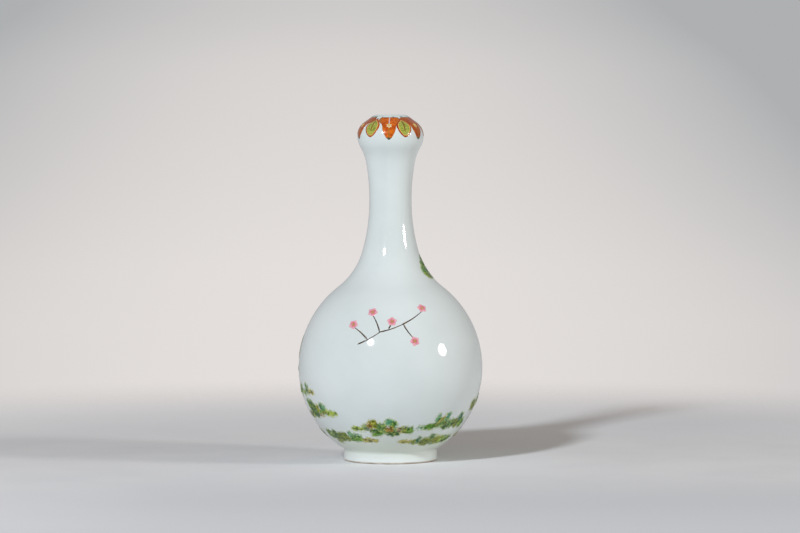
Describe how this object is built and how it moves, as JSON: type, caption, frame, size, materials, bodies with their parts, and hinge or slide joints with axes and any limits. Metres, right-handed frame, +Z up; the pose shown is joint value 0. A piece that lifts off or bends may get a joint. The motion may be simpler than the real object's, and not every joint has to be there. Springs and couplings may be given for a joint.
{
  "type": "garlic head vase",
  "caption": "Porcelain bottle vase with a round belly, slender neck, bulbed garlic head mouth and low foot; stands on its foot and holds a flower stem.",
  "frame": {"origin": "centre of the foot ring, on the plane that it stands on", "axes": "+Z up along the vase's axis; the front with the blossom twig faces -Y"},
  "size_m": [0.1068, 0.1066, 0.2],
  "materials": {
    "porcelain": "unglazed fired porcelain",
    "slip": "fired slip",
    "clear_glaze": "glossy pale blue-white glaze",
    "turquoise_enamel": "glossy overglaze enamel",
    "red_enamel": "iron-red overglaze enamel",
    "green_enamel": "yellow-green overglaze enamel",
    "moss_enamel": "mixed green overglaze enamel",
    "leaf_enamel": "translucent green overglaze enamel",
    "black_enamel": "black overglaze enamel",
    "pink_enamel": "pink overglaze enamel"
  },
  "bodies": {
    "root": {"foot_ring": "porcelain", "foot_slip": "slip", "lower_bowl": "porcelain", "belly_slip": "slip", "upper_bowl": "porcelain", "neck_slip": "slip", "neck": "porcelain", "head_slip": "slip", "garlic_head": "porcelain", "outer_glaze": "clear_glaze", "inner_glaze": "clear_glaze", "base_glaze": "clear_glaze", "lip_line": "turquoise_enamel", "red_petals": "red_enamel", "green_petals": "green_enamel", "moss_tufts": "moss_enamel", "leaf_spray": "leaf_enamel", "blossom_twig": "black_enamel", "blossoms": "pink_enamel"}
  },
  "joints": []
}
